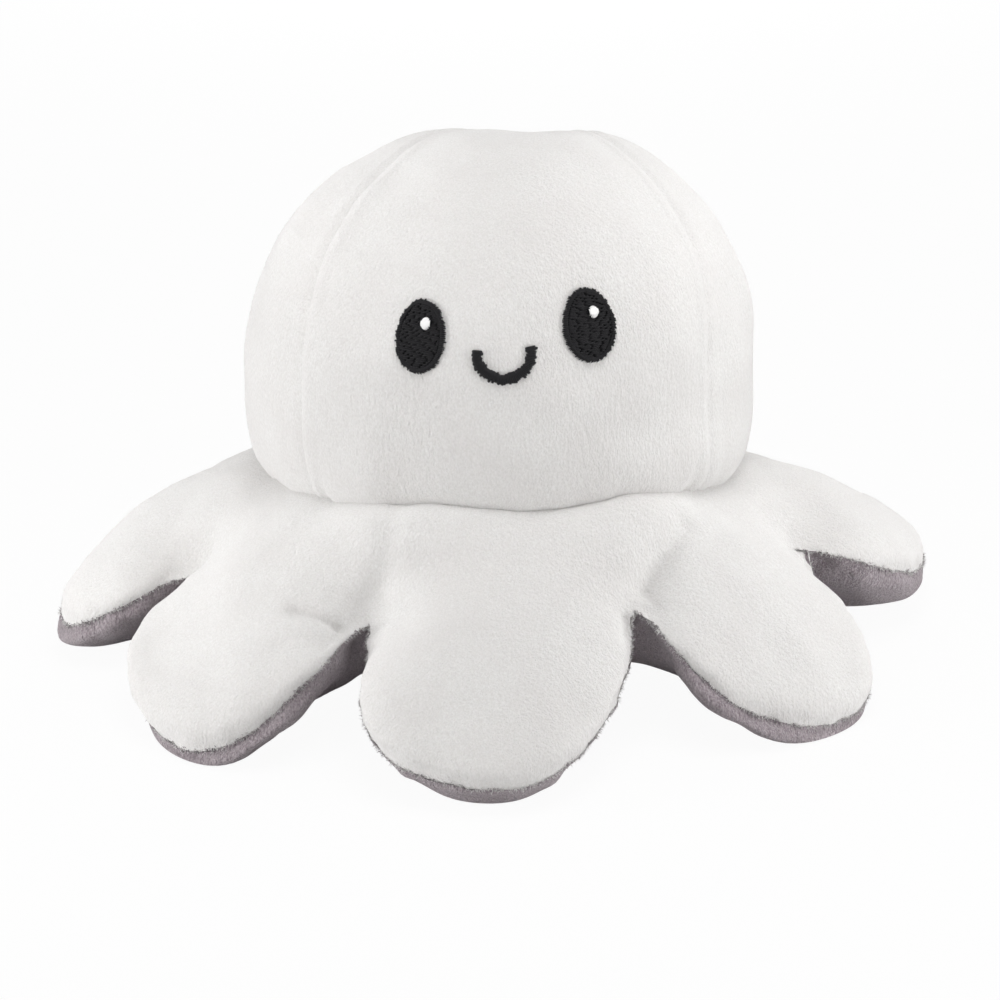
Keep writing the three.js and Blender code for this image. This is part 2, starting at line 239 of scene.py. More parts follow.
def azimuth(number):
    return -quarter_turn + number * arm_step


def shift_notches(plan):
    """Moves the notches, with the cloth about them."""
    radius, angle = polar(plan)
    near = smooth((radius - neck_radius) / (notch_radius - neck_radius))
    near *= 1 - notch_shift_fade_share * smooth((radius - notch_radius) / notch_shift_length)
    turn, outward = 0, 0
    for arm, (own_turn, own_outward, _) in notch_shapes.items():
        at = azimuth(arm_names.index(arm)) - half_step
        share = near * bell(angle_apart(angle, at) * notch_radius, notch_shift_width)
        turn += math.radians(own_turn) * share
        outward += own_outward * share
    return from_polar(radius + outward, angle + turn)


def arm_plan(number, ring_radius):
    """Plan of one arm with its part of the skirt. Rows run from the ring to the tip, columns across."""
    reach, sway, half_width, round_clockwise, round_other = arm_shapes[arm_names[number]]
    even = np.linspace(-1, 1, arm_columns + 1)
    turn = quarter_turn * even
    across = np.sin(turn)
    ring_half = ring_radius * math.sin(half_step)
    share = np.linspace(0, 1, inner_rows + 1)[:, None]
    place = even + (across - even) * share**2
    ring_x = np.sqrt(ring_radius**2 - (ring_half * place) ** 2)
    x_inner = ring_x + (notch_x - ring_x) * share
    y_inner = place * (ring_half + (notch_y - ring_half) * share)
    end = reach - np.where(turn < 0, round_clockwise, round_other) * (1 - np.cos(turn))
    share = np.sin(quarter_turn * np.arange(1, outer_rows + 1) / outer_rows)[:, None]
    x_outer = notch_x + (end - notch_x) * share
    beyond = x_outer - notch_x
    half = notch_y + (half_width - notch_y) * smooth(beyond / widen_length)
    y_outer = across * half + sway * (beyond / (reach - notch_x)) ** 2
    x, y = np.vstack([x_inner, x_outer]), np.vstack([y_inner, y_outer])
    return shift_notches(turned(x, y, azimuth(number)))


def seam_heights(number, x):
    """Height of an arm's seam for each distance x along the arm."""
    arm = arm_names[number]
    reach = arm_shapes[arm][0]
    tip_height, fall_clockwise, fall_other = seam_shapes[arm]
    side = np.linspace(0, 1, arm_columns + 1)
    power = fall_clockwise + (fall_other - fall_clockwise) * side
    fall = np.clip((x - notch_x) / (reach - notch_x), 0, 1) ** power
    notch = on_slope(notch_height, notch_radius * np.sin(azimuth(number) + half_step * np.array([-1, 1])))
    notch -= [notch_shapes[arm_names[beside % len(arm_names)]][2] for beside in (number, number + 1)]
    from_notch = notch[0] + (notch[1] - notch[0]) * side
    return from_notch + (tip_height - from_notch) * fall


def join_arms(raw):
    """Gives the points that two arms share one number, and leaves out unused numbers."""
    ids = raw.copy()
    ids[:, : inner_rows + 1, -1] = np.roll(raw, -1, axis=0)[:, : inner_rows + 1, 0]
    used, flat = np.unique(ids.reshape(-1), return_inverse=True)
    return used, flat.reshape(ids.shape)


def film(plan, faces, held, level, pressure):
    """Height of a film over a plan: held at level at some points and blown up by pressure elsewhere."""
    corners = plan[faces]
    edges = corners[:, [2, 0, 1]] - corners[:, [1, 2, 0]]
    twice_area = np.abs(edges[:, 0, 0] * edges[:, 1, 1] - edges[:, 0, 1] * edges[:, 1, 0])
    twice_area = np.maximum(twice_area, least_area)
    count = len(plan)
    load = np.zeros(count)
    rows, columns, weights = [], [], []
    for k in range(3):
        a, b = (k + 1) % 3, (k + 2) % 3
        weight = -(edges[:, a] * edges[:, b]).sum(1) / twice_area / 2
        rows += [faces[:, a], faces[:, b]]
        columns += [faces[:, b], faces[:, a]]
        weights += [weight, weight]
        load += np.bincount(faces[:, k], twice_area / 6, count)
    rows, columns, weights = map(np.concatenate, (rows, columns, weights))
    own = np.bincount(rows, weights, count)

    def pull(height):
        return np.where(held, 0, own * height - np.bincount(rows, weights * height[columns], count))

    # Conjugate gradients, which solve for the heights where the pull balances the load
    height = np.where(held, level, 0.0)
    rest = np.where(held, 0, pressure * load) - pull(height)
    step = rest / own
    gain = rest @ step
    for _ in range(film_steps):
        pulled = pull(step)
        size = gain / (step @ pulled)
        height += size * step
        rest -= size * pulled
        scaled = rest / own
        new_gain = rest @ scaled
        if new_gain < film_tolerance * max(1, abs(size)):
            break
        step = scaled + new_gain / gain * step
        gain = new_gain
    return height


def draw_in_valleys(plan, puff, start, radius):
    """Takes the swell out of the valleys that run in from the notches."""
    length = notch_radius - start + radius
    for number, arm in enumerate(arm_names):
        angle = azimuth(number) - half_step + math.radians(notch_shapes[arm][0])
        heading = np.array([math.cos(angle), math.sin(angle)])
        along = np.clip(plan @ heading, start, notch_radius)
        apart = np.linalg.norm(plan - along[:, None] * heading, axis=1)
        puff *= 1 - smooth((along - start + radius) / length) * bell(apart, radius)
    return puff


def arm_sheets(colour):
    """Point numbers, faces, plan, resting level without filling and blown-up shape of all eight arms."""
    ring_radius, ring_height, *valley = rings[colour]
    plans = np.stack([arm_plan(number, ring_radius) for number in range(len(arm_names))])
    used, ids = join_arms(np.arange(plans[..., 0].size).reshape(plans.shape[:3]))
    plan = plans.reshape(-1, 2)[used]
    held = np.zeros(len(used), bool)
    level, pressure = np.zeros((2, len(used)))
    edge = np.zeros(plans.shape[1:3], bool)
    edge[0] = edge[-1] = True
    edge[inner_rows:, 0] = edge[inner_rows:, -1] = True
    for number, arm in enumerate(arm_names):
        angle = azimuth(number)
        x = plans[number, ..., 0] * math.cos(angle) + plans[number, ..., 1] * math.sin(angle)
        height = seam_heights(number, x)
        height[0] = on_slope(ring_height, plans[number, 0, :, 1])
        own = ids[number]
        held[own[edge]] = True
        level[own[edge]] = height[edge]
        way = np.clip((x - ring_radius) / (arm_shapes[arm][0] - ring_radius), 0, 1)
        more = (pressure_at_tip - pressure_at_neck) * way
        pressure[own] = pressure_shares[colour][number] * (pressure_at_neck + more)
    faces = triangles(np.concatenate([sheet_faces(own) for own in ids]))
    base = film(plan, faces, held, level, 0)
    puff = np.maximum(film(plan, faces, held, 0, pressure), 0)
    return ids, faces, plan, base, draw_in_valleys(plan, puff, *valley)


# Head: a dome on a rounded base
head_radius = 57.3
cheek_height = 64.2
head_rise = 54.3
head_drop = 28.1
top_fullness = 2.145
base_fullness = 5.0
head_steps = 2000
normal_reach = 0.6
side_lean = math.tan(math.radians(1.5))
crown_share = 0.38  # how far the crown lies behind the highest point, of the way to the neck
crown_heading = math.radians(83)
head_sides = ["front", "right", "back", "left"]
head_seams = [math.radians(heading) for heading in (-138, -33, 42, 143)]  # where the seams meet the neck
skin = 1.5
# Where the base of the head hangs down over the skirt, or is pushed up by it: heading and width in
# degrees, and drop
hangs = [(-146, 24, 3.0), (-103, 14, -2.1), (-57, 16, -1.5), (-4, 28, 5.5), (175, 30, 2.0)]
hang_height = 26.0

# Relief of the head's cloth: seams, crown, a hollow on top, gathers and puckers at the neck, uneven filling
seam_pull, seam_pull_width = 0.6, 9.0
seam_groove, seam_groove_width = 0.25, 0.9
seam_lip, seam_lip_apart, seam_lip_width = 0.3, 2.4, 1.3
seam_start = 12.0  # from the crown, where the groove and its lips are full
crown_dip, crown_dip_width = 3.4, 10.0
hollow_dip, hollow_x, hollow_y, hollow_width, hollow_length = 4.0, 4.8, 20.0, 14.3, 26.0
gather_size, gather_reach = 0.45, 5.0
gather_counts = (17, 23, 29, 34, 41)
# Heading of each pucker in degrees, and its depth
neck_puckers = {-134: 1.1, -112: 0.3, -60: 0.5, -38: 0.7, -12: 0.5, 200: 0.6, 40: 0.8, 95: 0.7, 140: 0.9}
pucker_width, pucker_height = 1.4, 6.0
lump_size, lump_length, lump_seed = 0.55, 42.0, 32
dent_size, dent_length, dent_seed = 0.16, 15.0, 4


def head_table():
    """Radius and height of the plain head along its outline from the neck to the top."""
    start = -math.asin(((cheek_height - neck_height) / head_drop) ** (base_fullness / 2))
    angle = np.linspace(start, quarter_turn, head_steps + 1)
    upper = angle > 0
    power = 2 / np.where(upper, top_fullness, base_fullness)
    radius = head_radius * np.maximum(np.cos(angle), 0) ** power
    height = cheek_height + np.abs(np.sin(angle)) ** power * np.where(upper, head_rise, -head_drop)
    run = np.concatenate([[0], np.cumsum(np.hypot(np.diff(radius), np.diff(height)))])
    return run, radius, height


head_run, head_radii, head_heights = head_table()
head_length = head_run[-1]


def profile(run):
    return np.interp(run, head_run, head_radii), np.interp(run, head_run, head_heights)


def dome_point(disk, offset):
    """Point of the plain head over a disk whose edge is the neck, before the lean."""
    run = (1 - np.abs(disk)) * head_length
    angle = np.angle(disk)
    radius, height = profile(run)
    ahead, behind = profile(run + normal_reach), profile(run - normal_reach)
    out, up = ahead[1] - behind[1], behind[0] - ahead[0]
    size = np.hypot(out, up)
    out, up = out / size, up / size
    normal = from_polar(out, angle, up)
    return from_polar(radius, angle, height) + normal * np.asarray(offset)[..., None]


def crown_shift(disk, way=1):
    """Moves the middle of the unit disk to the crown, or back, and leaves its edge, the neck, in place."""
    crown = crown_share * complex(math.cos(crown_heading), math.sin(crown_heading)) * way
    return (disk + crown) / (1 + crown.conjugate() * disk)


seam_phases = [np.angle(crown_shift(np.exp(1j * heading), -1)) for heading in head_seams]


def side_shift(height):
    return np.maximum(height - neck_height, 0) * side_lean


def lean(points):
    """Leans the head and lets its base hang."""
    x, y, z = points[..., 0], points[..., 1], points[..., 2]
    upper = cheek_height + head_rise / 2
    fade = smooth((upper - z) / (upper - neck_height))
    angle = np.arctan2(y, x)
    hang = sum(drop * angle_bell(angle, heading, width) for heading, width, drop in hangs)
    hang = hang * smooth(1 - (z - neck_height) / hang_height)
    return np.stack([x + side_shift(z), y, z - y * lean_slope - ground_sag(y) * fade - hang], -1)


def head_relief(disk, plain):
    """How far the cloth stands off the plain head."""
    source = crown_shift(disk, -1)
    apart = np.full(disk.shape, np.inf)
    for phase in seam_phases:
        on_seam = dome_point(crown_shift(np.abs(source) * np.exp(1j * phase)), 0)
        apart = np.minimum(apart, np.linalg.norm(plain - on_seam, axis=-1))
    from_crown = np.linalg.norm(plain - dome_point(np.array([crown_shift(0)]), 0)[0], axis=-1)
    above = plain[..., 2] - neck_height
    angle = np.angle(disk)
    open_seam = smooth(from_crown / seam_start)
    relief = -seam_pull * bell(apart, seam_pull_width)
    relief -= seam_groove * bell(apart, seam_groove_width) * open_seam
    relief += seam_lip * bell(apart - seam_lip_apart, seam_lip_width) * open_seam
    relief -= crown_dip * bell(from_crown, crown_dip_width)
    hollow = bell(plain[..., 0] - hollow_x, hollow_width) * bell(plain[..., 1] - hollow_y, hollow_length)
    relief -= hollow_dip * hollow
    gathers = sum(np.cos(count * angle + count**2) for count in gather_counts) / len(gather_counts)
    relief += gather_size * gathers * np.exp(-np.maximum(above, 0) / gather_reach)
    for heading, size in neck_puckers.items():
        across = angle_apart(angle, math.radians(heading)) * neck_radius
        relief -= size * bell(across, pucker_width) * bell(above, pucker_height)
    lumps = lump_size * waves(plain, lump_length, lump_seed)
    dents = dent_size * waves(plain, dent_length, dent_seed)
    relief += lumps + dents
    return relief


def head_surface(disk, offset=0.0):
    relief = head_relief(disk, dome_point(disk, 0))
    return lean(dome_point(disk, relief + offset))


# Meshes
def add_mesh(name, points, faces, material, normals=None):
    """One piece from points in millimetres about the head's axis."""
    placed = (points.reshape(-1, 3) + [*axis_xy, 0]) * MM
    mesh = bpy.data.meshes.new(name)
    mesh.from_pydata(placed.tolist(), [], faces if isinstance(faces, list) else faces.tolist())
    mesh.polygons.foreach_set("use_smooth", [True] * len(mesh.polygons))
    if normals is not None:
        mesh.normals_split_custom_set_from_vertices(normals.tolist())
    mesh.materials.append(material)
    piece = bpy.data.objects.new(name, mesh)
    scene.collection.objects.link(piece)
    return piece


def sheet_faces(ids):
    return np.stack([ids[:-1, :-1], ids[:-1, 1:], ids[1:, 1:], ids[1:, :-1]], -1).reshape(-1, 4)


def triangles(quads):
    return np.concatenate([quads[:, [0, 1, 2]], quads[:, [0, 2, 3]]])


def mesh_normals(points, faces):
    a, b, c = (points[faces[:, k]] for k in range(3))
    normal = np.cross(b - a, c - a)
    total = np.zeros_like(points)
    for axis in range(3):
        total[:, axis] = sum(np.bincount(faces[:, k], normal[:, axis], len(points)) for k in range(3))
    return unit(total)


def grid_normals(points, outward):
    """Normals of a grid of points, on the side that outward points to on the whole."""
    normal = unit(np.cross(np.gradient(points, axis=1), np.gradient(points, axis=0)))
    return normal if (normal * outward).sum() > 0 else -normal


def thick_sheet(name, outer, inner, material, normals):
    """A closed sheet of cloth between two grids of points."""
    at = np.arange(outer[..., 0].size).reshape(outer.shape[:2])
    front = sheet_faces(at)
    ring = np.concatenate([at[0, :-1], at[:-1, -1], at[-1, :0:-1], at[:0:-1, 0]])
    following = np.roll(ring, -1)
    flat, out = outer.reshape(-1, 3), normals.reshape(-1, 3)
    across = np.cross(flat[front[:, 2]] - flat[front[:, 0]], flat[front[:, 3]] - flat[front[:, 1]])
    if (across * out[front[:, 0]]).sum() < 0:
        front = front[:, ::-1]
        ring, following = following, ring
    rim = np.stack([following, ring, ring + at.size, following + at.size], -1)
    faces = np.concatenate([front, front[:, ::-1] + at.size, rim])
    points = np.concatenate([flat, inner.reshape(-1, 3)])
    return add_mesh(name, points, faces, material, np.concatenate([out, -out]))


# Materials, whose pile has fine grains, longer streaks where it was brushed, and wide faint blotches
grain_size, grain_stretch, grain_detail, grain_roughness = 0.36, 1.8, 3.0, 0.6
streak_size, streak_stretch, streak_depth_share, streak_strength = 0.8, 3.0, 1.4, 0.7
blotch_size = 14.0
pile_range, blotch_range = (0.3, 0.7), (0.35, 0.65)
plush_surface = {
    "Roughness": 0.95,
    "Diffuse Roughness": 0.8,
    "Specular IOR Level": 0.1,
    "Sheen Roughness": 0.6,
}
twist_size, twist_detail, twist_depth = 0.16, 1.0, 0.03
thread_surface = {"Specular IOR Level": 0.22, "Sheen Weight": 0.05}


def shade(hexadecimal):
    """Linear colour from a screen colour, by the usual screen curve."""
    values = [int(hexadecimal[i : i + 2], 16) / 255 for i in (0, 2, 4)]
    return [*(v / 12.92 if v <= 0.04045 else ((v + 0.055) / 1.055) ** 2.4 for v in values), 1.0]


def add_nodes(name):
    material = bpy.data.materials.new(name)
    material.use_nodes = True
    tree = material.node_tree
    return material, tree, tree.nodes["Principled BSDF"]


def set_inputs(node, values):
    for name, value in values.items():
        node.inputs[name].default_value = value


def noise(tree, size, stretch=1.0, detail=2.0, roughness=0.5):
    """Noise whose grains are about size millimetres, and longer upwards where stretch is more than one."""
    place = tree.nodes.new("ShaderNodeTexCoord")
    scale = tree.nodes.new("ShaderNodeMapping")
    scale.inputs["Scale"].default_value = [1 / (size * MM * along) for along in (1, 1, stretch)]
    texture = tree.nodes.new("ShaderNodeTexNoise")
    set_inputs(texture, {"Scale": 1.0, "Detail": detail, "Roughness": roughness})
    tree.links.new(place.outputs["Object"], scale.inputs["Vector"])
    tree.links.new(scale.outputs["Vector"], texture.inputs["Vector"])
    return texture.outputs["Fac"]


def spread(tree, value, low, high):
    """Stretches the part of a noise from low to high to the whole range."""
    node = tree.nodes.new("ShaderNodeMapRange")
    set_inputs(node, {"From Min": low, "From Max": high})
    tree.links.new(value, node.inputs["Value"])
    return node.outputs["Result"]


def blend_colours(tree, share, first, second):
    node = tree.nodes.new("ShaderNodeMix")
    node.data_type = "RGBA"
    tree.links.new(share, node.inputs["Factor"])
    for socket_name, colour in (("A", first), ("B", second)):
        socket = [s for s in node.inputs if s.name == socket_name and s.type == "RGBA"][0]
        if isinstance(colour, list):
            socket.default_value = colour
        else:
            tree.links.new(colour, socket)
    return [s for s in node.outputs if s.type == "RGBA"][0]


def bump(tree, height, distance, strength=1.0, after=None):
    node = tree.nodes.new("ShaderNodeBump")
    set_inputs(node, {"Distance": distance * MM, "Strength": strength})
    tree.links.new(height, node.inputs["Height"])
    if after is not None:
        tree.links.new(after, node.inputs["Normal"])
    return node.outputs["Normal"]


def plush(name, deep, middle, tip, pile, sheen):
    """Short pile with the colours of its depth, its middle and its tips, its depth and its sheen."""
    material, tree, shader = add_nodes(name)
    grain = spread(tree, noise(tree, grain_size, grain_stretch, grain_detail, grain_roughness), *pile_range)
    streak = spread(tree, noise(tree, streak_size, streak_stretch), *pile_range)
    blotch = spread(tree, noise(tree, blotch_size), *blotch_range)
    colour = blend_colours(tree, blotch, shade(middle), shade(tip))
    colour = blend_colours(tree, grain, shade(deep), colour)
    tree.links.new(colour, shader.inputs["Base Color"])
    rough = bump(tree, grain, pile)
    rough = bump(tree, streak, pile * streak_depth_share, streak_strength, rough)
    tree.links.new(rough, shader.inputs["Normal"])
    set_inputs(shader, {**plush_surface, "Sheen Weight": sheen})
    return material


def thread(name, colour, roughness):
    material, tree, shader = add_nodes(name)
    twist = noise(tree, twist_size, detail=twist_detail)
    tree.links.new(bump(tree, twist, twist_depth), shader.inputs["Normal"])
    set_inputs(shader, {**thread_surface, "Base Color": shade(colour), "Roughness": roughness})
    return material


plushes = {
    "white": plush("white_plush", "e2e0de", "efedec", "f2f1f0", 0.11, 0.12),
    "grey": plush("grey_plush", "8b8085", "c2b7bc", "d2c8cd", 0.26, 0.2),
}
black_thread = thread("black_thread", "060509", 0.6)
white_thread = thread("white_thread", "f6f5f4", 0.5)

# Pieces
stuffed_fill, slack_fill = 0.7, 0.2


def finish_piece(piece, slot, fill, *nodes, arm=None):
    """Attaches a piece to the body, or for an arm bakes its place into its mesh, and hides the CAD nodes it
    stands for.
    """
    if arm:
        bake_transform(piece)
    else:
        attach(piece, "body")
    if nodes:
        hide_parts(*nodes)


# Panels of the head, which start just off the crown
head_rows = 130
head_columns = {"front": 110, "right": 80, "back": 90, "left": 80}
crown_hole_share = 0.004


def add_head():
    rows = np.linspace(crown_hole_share, 1, head_rows + 1)[:, None]
    for side, start, end in zip(head_sides, seam_phases, np.roll(seam_phases, -1)):
        disk = crown_shift(rows * np.exp(1j * sweep(start, end, head_columns[side])))
        outer, inner = head_surface(disk), head_surface(disk, -skin)
        normals = grid_normals(outer, outer - [0, 0, cheek_height])
        piece = thick_sheet(f"white_head_{side}", outer, inner, plushes["white"], normals)
        fillings = ["body_filling"] if side == "front" else []
        finish_piece(piece, "white_plush", stuffed_fill, f"head_panel_{side}", *fillings)


add_head()

# Skins of the arms and the skirt. A skin's swell is how far it is blown up, as a share of a full arm's
reference_puff = 250.0
puff_height, puff_power = 11.5, 0.54
sink_depth, sink_power = 13.0, 0.56
floor_softness = 1.2
edge_skin_share, full_skin_swell = 0.1, 0.3

# How far each skin stands out past the seam, on the clockwise and on the other side of an arm
bulges = {
    "white": {"front": (2.4, 2.2), "front_right": (1.2, 3.2), "front_left": (5.0, 1.2)},
    "grey": {
        "front": (-0.8, -2.0),
        "front_right": (4.6, -1.5),
        "right": (1.5, 0.3),
        "left": (0.3, 3.2),
        "front_left": (-1.5, 4.0),
    },
}
plain_bulges = {"white": 1.2, "grey": 0.3}
bulge_swell = 0.16  # where a skin stands out furthest
bulge_hill = 40.0
bulge_rows = 8  # rows from the notches over which an arm's own bulge sets in

# Uneven filling, dents in the cloth and crumples at the seams: size, length and seed of their waves
skin_waves = {
    "white": ((0.5, 30.0, 11), (0.14, 11.0, 12), (0.18, 5.5, 13)),
    "grey": ((0.5, 22.0, 21), (0.15, 9.0, 22), (0.22, 5.5, 13)),
}
lump_swell, crumple_swell = 0.1, 0.12

# How the skirt sinks beside the neck on the right
shoulder_drop, shoulder_radius, shoulder_length, shoulder_heading = 3.2, 61.0, 10.0, math.radians(20)
# Where the skirt swells against the head: heading and width in degrees, and rise
rims = [(-106, 18, 7.5), (-62, 17, 6.0)]
rim_radius, rim_width = 57.0, 7.0
# Folds in the white skin, in plan: from, to where it is deepest, depth and width
creases = [
    ((-42.5, -66.4), (-31.5, -70.6), 3.0, 1.5),
    ((-45.0, -74.4), (-34.0, -76.0), 1.0, 2.4),
    ((41.5, -46.5), (32.5, -62.0), 3.0, 2.7),
    ((-18.0, -52.0), (-25.5, -64.0), 2.0, 4.0),
]
crease_start_share, crease_swell = 0.6, 0.1
# Where the grey skin rests flat on the floor it has no relief, and above that it gains it
flat_height, lift_height = 1.0, 4.0


def settle(height):
    """Presses what would lie below the floor flat, softly."""
    return np.where(height > floor_softness, height, floor_softness * np.exp(height / floor_softness - 1))


def skin_level(colour, base, swell):
    if colour == "white":
        return base + puff_height * swell**puff_power
    return settle(base - sink_depth * swell**sink_power)


def plain_skin(colour):
    """Point numbers, faces, points and swell of one skin of all eight arms, before its relief."""
    ids, faces, plan, base, puff = arm_sheets(colour)
    swell = puff / reference_puff
    hill = mesh_normals(np.column_stack([plan, swell * bulge_hill]), faces)
    outward = hill * np.sign(hill[:, 2:]) * [1, 1, 0]
    points = np.column_stack([plan, skin_level(colour, base, swell)])
    share = swell / bulge_swell
    bulge = np.full(len(points), plain_bulges[colour])
    across = smooth(np.linspace(0, 1, arm_columns + 1))
    for arm, (clockwise, other) in bulges[colour].items():
        own = ids[arm_names.index(arm)][inner_rows:]
        rise = smooth(np.arange(len(own)) / bulge_rows)[:, None]
        bulge[own] += rise * (clockwise + (other - clockwise) * across - plain_bulges[colour])
    points += outward * (bulge * share * np.exp(1 - share))[:, None]
    return ids, faces, points, swell


def skin_normals(colour, points, faces):
    """Normals away from the filling: up on the whole on the white skin, and down on the grey one."""
    normals = mesh_normals(points, faces)
    return normals if (normals[:, 2].sum() > 0) == (colour == "white") else -normals


def crease_depth(points, swell):
    """Depth of the folds, which fade where the skin isn't swollen."""
    total = 0
    for start, end, depth, width in creases:
        along = np.subtract(end, start)
        share = np.clip(((points[:, :2] - start) @ along) / (along @ along), 0, 1)
        apart = np.linalg.norm(points[:, :2] - start - share[:, None] * along, axis=1)
        deepening = crease_start_share + (1 - crease_start_share) * share
        total += depth * bell(apart, width) * deepening * smooth(swell / crease_swell)
    return total


def skin_relief(colour, points, swell):
    """How far the cloth stands off the plain skin."""
    lumps, dents, crumples = (size * waves(points, length, seed) for size, length, seed in skin_waves[colour])
    relief = lumps * (1 - np.exp(-swell / lump_swell)) + dents + crumples * np.exp(-swell / crumple_swell)
    if colour == "grey":
        return relief * smooth((points[:, 2] - flat_height) / lift_height)
    radius, angle = polar(points)
    beside = np.maximum(np.cos(angle - shoulder_heading), 0) ** 2
    relief -= shoulder_drop * bell(radius - shoulder_radius, shoulder_length) * beside
    for heading, width, rise in rims:
        relief += rise * angle_bell(angle, heading, width) * bell(radius - rim_radius, rim_width)
    return relief - crease_depth(points, swell)


# Loose pile along the seams: length of a tuft, how far back it starts, its rise and the spread of that
fluff_shapes = {"white": (0.9, 0.25, -0.3, 0.5), "grey": (0.9, 0.3, 0.1, 0.6)}
fluff_seeds = {"white": 70, "grey": 80}
fluff_per_mm = 7.0
fluff_radius = 0.13
fluff_patch = 5.0  # length of the thick and thin stretches of grey pile
fluff_patch_levels = (-1.2, 1.6)
fluff_step = 0.5
fluff_back_shares = (-1.0, 0.3)
fluff_scatter, fluff_sideways = 0.25, 0.45
fluff_out_shares = (0.3, 1.0)
fluff_length_shares = (0.5, 1.3)
tuft_faces = ([0, 1, 3], [1, 2, 3], [2, 0, 3], [2, 1, 0])


def along_line(line, run, place):
    return np.stack([np.interp(place, run, line[:, axis]) for axis in range(3)], -1)


def tuft_places(colour, seam_length, draw, seed):
    """Where tufts grow along a seam. The grey pile has thick and thin stretches."""
    place = np.sort(draw.uniform(0, seam_length, int(seam_length * fluff_per_mm)))
    if colour == "white":
        return place
    patch = waves(np.outer(place, [1, 0, 0]), fluff_patch, seed)
    return place[patch > draw.uniform(*fluff_patch_levels, len(place))]


def tufts(base, tip, heading, up):
    """Points and faces of tufts, each a thin pyramid on three corners."""
    side = unit(np.cross(heading, up))
    other = np.cross(heading, side)
    turns = (0, full_turn / 3, -full_turn / 3)
    corners = [base + fluff_radius * (side * math.cos(turn) + other * math.sin(turn)) for turn in turns]
    points = np.stack([*corners, tip], 1)
    first = points.shape[1] * np.arange(len(points))[:, None]
    return points, np.concatenate([first + face for face in tuft_faces])


def add_fluff(colour, arm, seam, seed):
    """Tapered tufts of pile that stand along the seam between the skins."""
    draw = np.random.default_rng(seed)
    length, inset, rise, rise_spread = fluff_shapes[colour]
    run = np.concatenate([[0], np.cumsum(np.linalg.norm(np.diff(seam, axis=0), axis=1))])
    place = tuft_places(colour, run[-1], draw, seed)
    count = len(place)
    base = along_line(seam, run, place)
    ahead = along_line(seam, run, place + fluff_step) - base
    ahead[place + fluff_step > run[-1]] = seam[-1] - seam[-2]
    ahead = unit(ahead)
    out = unit(np.stack([ahead[:, 1], -ahead[:, 0], np.zeros(count)], -1))
    up = np.cross(out, ahead)
    up *= np.sign(up[:, 2:])
    back = draw.uniform(*fluff_back_shares, count) * inset
    base += out * back[:, None] + up * draw.normal(0, fluff_scatter, count)[:, None]
    lay = draw.normal(0, fluff_sideways, count)[:, None] * ahead
    lay += draw.normal(rise, rise_spread, count)[:, None] * up
    heading = unit(out * draw.uniform(*fluff_out_shares, count)[:, None] + lay)
    tip = base + heading * (length * draw.uniform(*fluff_length_shares, count))[:, None]
    piece = add_mesh(f"{colour}_fluff_{arm}", *tufts(base, tip, heading, up), plushes[colour])
    finish_piece(piece, f"{colour}_plush", None, arm=arm)


def add_skin(colour, parts, skirt_part):
    """One skin of all eight arms. The front arm's stands for that of the skirt too."""
    ids, faces, points, swell = plain_skin(colour)
    normals = skin_normals(colour, points, faces)
    points = points + normals * skin_relief(colour, points, swell)[:, None]
    normals = skin_normals(colour, points, faces)
    thickness = skin * (edge_skin_share + (1 - edge_skin_share) * smooth(swell / full_skin_swell))
    inner = points - normals * thickness[:, None]
    for number, arm in enumerate(arm_names):
        own = ids[number]
        piece = thick_sheet(f"{colour}_arm_{arm}", points[own], inner[own], plushes[colour], normals[own])
        nodes = [f"arm_{arm}_{part}" for part in parts] + ([skirt_part] if number == 0 else [])
        finish_piece(piece, f"{colour}_plush", stuffed_fill, *nodes, arm=arm)
        if colour == "white":
            seam = np.concatenate([own[inner_rows:, 0], own[-1, 1:-1], own[inner_rows:, -1][::-1]])
            for fluff_colour, seed in fluff_seeds.items():
                add_fluff(fluff_colour, arm, points[seam], seed + number)


add_skin("white", ("top", "filling"), "skirt_top")
add_skin("grey", ("underside",), "skirt_underside")

# Grey pocket inside the head, which hangs in folds that wander
pocket_radius = 24.0
pocket_flare, pocket_flare_power = 10.0, 4
pocket_height = 56.0
pocket_fullness = 3.0
pocket_top_share = 0.995
pocket_rows = 70
pocket_columns = 60
fold_count = 7
fold_depth = 1.6
fold_wander, wander_count, wander_twist = 2, 3, 2
fold_start, fold_end = 3, 4  # the folds set in over a third of the height and end over a quarter
least_radius = 0.05
pocket_lumps = (0.5, 14.0, 31)  # size, length and seed
lump_start = 2


def pocket_point(share, angle, offset):
    share, angle = np.broadcast_arrays(share, angle)
    turn = share * quarter_turn
    power = 2 / pocket_fullness
    flare = pocket_flare * (1 - np.sin(turn)) ** pocket_flare_power
    radius = pocket_radius * np.maximum(np.cos(turn), 0) ** power + flare
    folds = np.cos(fold_count * angle + fold_wander * np.sin(wander_count * angle + share * wander_twist))
    folds = folds * smooth(share * fold_start) * smooth((1 - share) * fold_end)
    radius = np.maximum(radius + fold_depth * folds + offset, least_radius)
    height = opening_height + pocket_height * np.sin(turn) ** power
    points = from_polar(radius, angle, height)
    size, length, seed = pocket_lumps
    points[..., 2] += offset * np.sin(turn) + size * waves(points, length, seed) * smooth(share * lump_start)
    x, y, z = points[..., 0], points[..., 1], points[..., 2]
    return np.stack([x + side_shift(z), y, on_slope(z, y)], -1)


